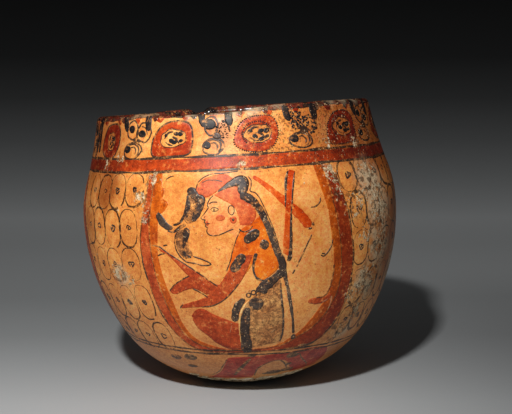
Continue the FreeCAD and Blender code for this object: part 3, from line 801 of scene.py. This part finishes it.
# Ornament under the lip: rings with a dotted hole, and groups of three round buds between them
rim = {
    "rings": [-77, -32.4, 11.4, 62.2, 107.5, 153, 198.5, 244, 289.5, 335, 380.5], "middle": 41.2,
    "ringWidth": 22.6, "groupWidth": 21,
    "ringA": [(-11.4, -5.4), (-10.6, 0), (-7.6, 4.2), (-3.5, 6.9), (2, 7.8), (7.4, 7.2), (10.4, 5.4), (11.4, 1.6),
        (11, -4), (8.8, -7.4), (0, -8), (-9, -7.8)],
    "ringB": [(-11.4, -3), (-10.4, 1.2), (-7.4, 5.4), (-3.4, 7.5), (2.6, 8.2), (8.4, 7.6), (11, 4.4), (11.2, -0.6),
        (9.4, -4.2), (6.4, -7), (1.4, -8.1), (-5, -7.5), (-9.6, -5.6)],
    # how far aside its middle lies, and half sizes of the hole and of the beads round it
    "hole": (0.8, 7, 4.3), "beadRing": (7.9, 5.6), "line": 0.85,
    "dabs": [(-3.6, 1.2, 2, 1.7), (-1.2, -0.6, 2.9, 2.2), (1.6, 1.7, 3, 1.9), (1.4, -2.1, 2.8, 1.9),
        (4.3, 1.6, 3.4, 2.4), (4.6, -1.1, 2, 1.6)],
    "ticks": [[(-4.8, 0, 0.6), (-2.8, 2.5, 1), (0.4, 3.1, 0.7)], [(-0.4, 0.9, 0.8), (2, -0.3, 1.1), (3.6, -2.5, 0.6)],
        [(-4.2, -1.4, 0.5), (-2.2, -2.7, 0.8), (0.2, -3.2, 0.5)]],
    "nudges": {1: (1.9, 0.86)},      # a group's shift and narrowing
    "narrow": {0: (0.8, 0.55)},      # a ring's and its hole's narrowing
    # red, hanging from the lip: place from a ring's middle, and width
    "wedges": [(-7.4, 5.6), (7.6, 4.2), (22.4, 3.6)],
    "drips": [(-90, 3), (-66, 3.4), (-43, 2.6), (-20.4, 2.8), (4, 2), (17, 2.4), (47, 2.6), (69, 3), (84, 2.4),
        (128, 3), (170, 2.4), (214, 3), (262, 2.6), (306, 3), (352, 2.6)],
}

# Three buds and their bars, in mm from the middle of the widest group
buds = {
    # middle and half sizes
    "outlines": [(-2.8, 4.9, 4.1, 4.2), (5.2, 3.6, 4.8, 4.4), (-2.2, -4.5, 6.2, 3.7)],
    "pupils": [(-3.6, 5.5, 4.2, 3.6), (4, 3.1, 4.8, 3.5), (-5.8, -3.8, 4.4, 3.6)],
    "arcs": [[(-5, -1.9, 0.6), (-1, -1.5, 0.8), (2, -3, 0.9), (2.2, -5.4, 0.8), (0.6, -7.2, 0.6)], [(-3.6, -3, 0.5),
        (-1.2, -2.9, 0.7), (0.4, -4.3, 0.8), (-0.2, -6.4, 0.5)], [(3.4, 6.6, 0.5), (6.4, 5.6, 0.7), (7.6, 2.6, 0.5)]],
    "joints": [[(-2.4, 0.8, 1.4), (0.4, 0.1, 2.9), (2.8, -0.5, 1.5)]],
    "bars": [[(-9, 12.2, 3), (-8.3, 7.4, 2.9), (-7, 4.4, 1.6)], [(7.6, 12.2, 3), (7.9, 7.2, 3.4), (8.7, 4.2, 1.6)]],
}


def buildRimOrnament():
    red, wedges, lines, dabs = [], [], [], []
    top = lipStart + 0.9
    followers = rim["rings"][1:] + [rim["rings"][0] + turnAll]
    for index, (u, following) in enumerate(zip(rim["rings"], followers)):
        chance = np.random.default_rng(index + 40).uniform
        ringFit, holeFit = rim["narrow"].get(index, (1, 1))
        middle = rim["middle"] + (0.2 if index < 2 else -0.2)
        outer = np.array(rim["ringA"] if index % 2 else rim["ringB"]) * chance(0.96, 1.02) * (ringFit, 1) + (u, middle)
        aside, wide, high = rim["hole"]
        centre, angle = u + aside, circle(14)
        hole = np.stack([centre + holeFit * wide * np.cos(angle), middle + high * np.sin(angle)], -1)
        hole = hole + chance(-0.45, 0.45, hole.shape)
        red.append(ringBetween(hole, outer, 1))
        beaded = index % 4 > 1
        if beaded:
            beads = [bead for bead in smoothPath(outer, 1.1, True)[0][:-1] if chance() < 0.85]
            dabs += [dot(*bead, chance(0.6, 1.1), chance(0.6, 1.0), 3) for bead in beads]
        else:
            lines.append(stroke(outer.tolist(), 3, rim["line"], closed=True))
        lines.append(stroke(hole.tolist(), 3, 0.5, closed=True, shake=0.14))
        for x, y, wide, high in rim["dabs"]:
            x, y = chance(-0.5, 0.5, 2) + (x, y)
            dabs.append(dot(centre + holeFit * x, middle + y, holeFit * wide * chance(0.8, 1.2), high, 3,
                            slant=chance(-0.6, 0.6) * holeFit))
        ticks = [[(centre + holeFit * x, middle + y, wide) for x, y, wide in tick] for tick in rim["ticks"]]
        lines += strokes(ticks, 3)
        if beaded:
            wide, high = rim["beadRing"]
            dabs += [dot(centre + wide * cos(t), middle + high * sin(t), chance(0.6, 1.2), 0.7, 3, slant=t)
                     for t in np.arange(0.6, 3.9, 0.14)]
        wedges += [[(u + x, top, wide), (u + x + 0.3, top - 1.6, wide * 0.75), (u + x + 0.6, top - 3.3, wide * 0.2)]
                   for x, wide in rim["wedges"]]
        shift, narrow = rim["nudges"].get(index, (0, 1))
        fit = min((following - u - rim["ringWidth"]) / rim["groupWidth"], 1.0) * narrow
        addBuds((u + following) / 2 + shift, fit, index, chance, lines, dabs)
    pieceFrom("rim_rings", red, "ring")
    pieceFrom("rim_lines", lines, "line")
    pieceFrom("rim_dabs", dabs, "dab")
    drips = [[(u, top, wide), (u + 0.3, lipStart - 0.6, wide * 0.9), (u + 0.2, lipStart - 1.8, wide * 0.5)]
             for u, wide in rim["drips"]]
    pieceFrom("lip_drips", strokes(drips, 2), "lip")
    pieceFrom("lip_wedges_red", strokes(wedges, 1), "ring")


def ringBetween(hole, outer, layer):
    # a filled ring: rays from the hole's middle meet the hole's edge and the outer edge at like angles
    centre = np.mean(hole, axis=0)
    rays = circle(72)
    edges = []
    for outline in (hole, outer):
        curve = smoothPath(outline, 0.3, True)[0][:-1] - centre
        bearing = np.arctan2(curve[:, 1], curve[:, 0]) % (2 * pi)
        order = np.argsort(bearing)
        edges.append(np.interp(rays, bearing[order], np.hypot(*curve[order].T), period=2 * pi))
    share = np.array([1, 0.97, 0.75, 0.5, 0.25, 0.03, 0])[:, None]
    reach = edges[0] * (1 - share) + edges[1] * share
    return wallAt(centre[0] + reach * np.cos(rays), centre[1] + reach * np.sin(rays), liftOf(reach.shape, layer)), True


def addBuds(u, fit, kind, chance, lines, dabs):
    # a group of buds round its middle, narrowed to the room between two rings; some buds are only speckled
    middle = rim["middle"]
    angle = circle(10)
    speckled, grown, largest = [((), 1.0, 0), ((1,), 1.5, 0.8), ((0, 1), 1.0, 1.3)][kind % 3]
    for bud, (x, y, wide, high) in enumerate(buds["outlines"]):
        wobble = 1 + chance(-0.06, 0.06, 10)
        across, upward = x + wide * wobble * np.cos(angle), y + high * wobble * np.sin(angle)
        outline = np.stack([u + across * fit, middle + upward], -1)
        x, y, wide, high = buds["pupils"][bud]
        if bud in speckled:
            specks = zip(np.sqrt(chance(0, 1, 90)), chance(0, 6.3, 90), chance(0.4, largest, 90))
            for away, bearing, size in specks:
                place = (u + (x + 4.6 * away * cos(bearing)) * fit, middle + y - 0.6 + 4.4 * away * sin(bearing))
                dabs.append(dot(*place, size, size * 0.9, 3))
        else:
            lines.append(stroke(outline.tolist(), 3, 0.85, closed=True, shake=0.12))
            size = 1.0 if bud else grown
            dabs.append(dot(u + x * fit, middle + y, wide * size * fit, high * size, 3, slant=chance(-0.4, 0.4)))
    for name, layer, kept in (("arcs", 3, lines), ("joints", 3, lines), ("bars", 4, dabs)):
        kept += strokes([[(u + x * fit, middle + y, wide) for x, y, wide in path] for path in buds[name]], layer)
    if kind and kind % 5 == 0:
        dabs += strokes([[(u + x, 50.5, 1.6), (u + x - 0.6, 43, 2.6), (u + x, 36, 1.8)] for x in (4.5, 8.5)], 4)


# Petals round the foot, under the basal lines and each oval
petals = {
    "edges": [[(-44, -91), (-34, -87.4), (-25, -82), (-19, -75.6), (-14.4, -68.4), (0, -68), (16, -67.8), (32, -67.4),
        (44, -67.6), (55, -69.6), (60, -76), (61, -88)], [(0.6, -91), (2.4, -85.6), (4.4, -80.2), (7.6, -76.4),
        (13, -74.4), (19.6, -73.6), (24, -74.4), (27.4, -77.4), (31, -82.6), (35, -89)]],
    "lines": [[(-14.4, -68.6, 0.5), (-19.4, -75, 0.7), (-25.6, -81.2, 0.6), (-34, -86, 0.4)], [(33, -69.6, 0.5),
        (38, -75.6, 0.9), (45, -81, 0.7), (52, -88, 0.5)], [(2.4, -88, 0.5), (5, -79.4, 0.7), (13.4, -74, 0.6),
        (20.6, -73.6, 0.7), (26.6, -79.6, 0.9), (31, -86.6, 0.6)], [(0.4, -69.4, 1.4), (-4, -74, 1.7),
        (-9, -79.6, 1.9), (-14, -86, 1.2)]],
    "dots": [(28.6, -70.6, 6.4, 4.4), (28, -78.2, 4, 2.6), (18.6, -86, 8.6, 5.6), (30, -85, 7, 5),
        (12.4, -86.4, 4, 2.6), (-43.4, -75.8, 5.6, 3.2), (-51.4, -68.6, 6.4, 4.2), (-39.6, -67.8, 7.4, 4.8),
        (1.2, -67.4, 4.4, 1.8), (33.6, -64.4, 5.8, 2.2)],
}


def buildPetals():
    red, dark = [], []
    for side, turn in sides():
        red.append(patch(petals["edges"], 1, turn, 44))
        dark += strokes(petals["lines"], 3, turn=turn) + dots(petals["dots"], 3, turn)
    pieceFrom("petals_red", red, "petal")
    pieceFrom("petals_dark", dark, "smoke")


# Crust that clings to the front of the foot: pale crumbs with a broken dark edge under them; the dark crumbs along the
# lowest strip are partly painted shade
crumbs = {
    # mm round, the least height above the floor, and how their row bows upwards
    "from": -62.0, "to": 52.0, "lowest": 1.0, "bow": 0.0023,
    # name: paint, how many, place up the wall and its spread, least and most width, height above the coat
    "foot_crumbs_dark_and_shade": ("soot", 150, -104.5, 6.0, 2.0, 6.0, 0.14),
    "foot_crumbs_pale": ("crumb", 95, -98.5, 4.5, 1.6, 5.0, 0.3),
}


def buildCrumbs():
    # each crumb is a ragged round lump, highest in its middle, with its edge sunk in the coat
    chance = np.random.default_rng(31).uniform
    angle, reach = circle(14), np.array([1, 0.9, 0.6, 0.3, 0.02])[:, None]
    for name in ("foot_crumbs_dark_and_shade", "foot_crumbs_pale"):
        paint, count, middle, spread, least, most, thick = crumbs[name]
        u, wide = chance(crumbs["from"], crumbs["to"], count), chance(least, most, count)
        v = middle + spread * chance(-1, 1, count) + crumbs["bow"] * (u - 2) ** 2
        v = np.maximum(v, heightLine(u, crumbs["lowest"]) + 0.3 * wide)
        lift = 0.08 + thick * (1 - reach ** 3) * np.ones(14)
        lift[0] = sunk
        lumps = []
        for place, height, size in zip(u, v, wide):
            ragged = size * reach * (1 + chance(-0.22, 0.22, 14))
            across = 0.5 * ragged * np.cos(angle) / girth(height)
            lumps.append((wallAt(place + across, height + 0.3 * ragged * np.sin(angle), lift), True))
        pieceFrom(name, lumps, paint)


buildCoats()
buildLip()
buildBands()
for side, turn in sides():
    buildOval(side, turn)
print("coats, bands and ovals built")
for side, turn in sides():
    buildFigure(side, turn)
buildScales()
buildRimOrnament()
buildPetals()
buildCrumbs()
print("painting built")

# Studio: a grey paper sweep whose greys are painted light and shade, darker towards its top and to the right near the
# bowl, and a soft key light high in front to the left
studio = {
    "near": -1.6, "bendStart": 0.5, "bend": 1.6, "wallTop": 3.4, "width": 6.0,
    # grey of the paper by how far back and up it lies, in metres: painted light and shade, paler near the front and in
    # a band behind the bowl, darker towards the top
    "greys": [(-0.06, 0.43), (0.08, 0.31), (0.2, 0.31), (0.4, 0.44), (0.66, 0.58), (0.9, 0.37), (1.1, 0.22),
        (1.33, 0.095), (1.55, 0.038), (1.85, 0.02)],
    "rightShade": 0.62, "shadeTone": (0.02, 0.02, 0.02, 1),
    "keyPlace": (-0.106, -0.482, 0.445), "keySize": 0.034, "keyPower": 4.2, "keyAim": (0, 0, 0.06),
    "surroundings": 0.09,
    "cameraPlace": (0, -0.5148, 0.1382), "cameraTilt": 5.79, "cameraTurn": 0.93, "lens": 70.31,
}


def buildStudio():
    near, start, bend = studio["near"], studio["bendStart"], studio["bend"]
    turn = np.linspace(0, pi / 2, 40)[1:]
    y = np.concatenate([np.linspace(near, start, 60), start + bend * np.sin(turn), [start + bend]])
    z = np.concatenate([np.zeros(60), bend - bend * np.cos(turn), [studio["wallTop"]]])
    x = np.linspace(-studio["width"] / 2, studio["width"] / 2, 30)
    grid = np.stack([x + 0 * y[:, None], y[:, None] + 0 * x, z[:, None] + 0 * x], -1)
    paper = Finish("studio_paper")
    grain = paper.noise(900, 2)
    stops, greys = np.array(studio["greys"]).T
    first, last = stops[0], stops[-1]
    share = paper.maths("DIVIDE", paper.maths("SUBTRACT", paper.maths("ADD", paper.y, paper.z), first), last - first)
    greys = [(grey * 0.97, grey, grey * 1.005, 1) for grey in greys]
    colour = paper.ramp(share, greys, (stops - first) / (last - first))
    shade = paper.times(paper.between(paper.x, -0.02, 0.24), paper.between(paper.y, 0.35, -0.05))
    colour = paper.mix(colour, studio["shadeTone"], shade, studio["rightShade"])
    roughness = paper.total(0.85, (grain, 0.05))
    material = paper.finish(colour, roughness, grain, 0.00005, **{"Specular IOR Level": 0.2})
    meshFrom("studio_sweep", [(grid, False)], material)


def buildLight():
    light = bpy.data.lights.new("key_light", "AREA")
    light.shape, light.size, light.energy = "SQUARE", studio["keySize"], studio["keyPower"]
    lamp = shown("key_light", light)
    lamp.location = studio["keyPlace"]
    x, y, z = np.array(studio["keyAim"]) - np.array(studio["keyPlace"])
    lamp.rotation_euler = (np.arctan2(np.hypot(x, y), -z), 0, np.arctan2(-x, y))
    world = bpy.data.worlds.new("surroundings")
    world.use_nodes = True
    world.node_tree.nodes["Background"].inputs[0].default_value = (studio["surroundings"],) * 3 + (1,)
    bpy.context.scene.world = world


def buildCamera():
    camera = shown("camera", bpy.data.cameras.new("camera"))
    camera.data.sensor_fit, camera.data.sensor_width, camera.data.lens = "HORIZONTAL", 36, studio["lens"]
    camera.data.clip_start = 0.01
    camera.location = studio["cameraPlace"]
    camera.rotation_euler = (radians(90 - studio["cameraTilt"]), 0, -radians(studio["cameraTurn"]))
    bpy.context.scene.camera = camera


buildStudio()
buildLight()
buildCamera()
bpy.context.scene.view_settings.view_transform = "Standard"
print("studio ready")
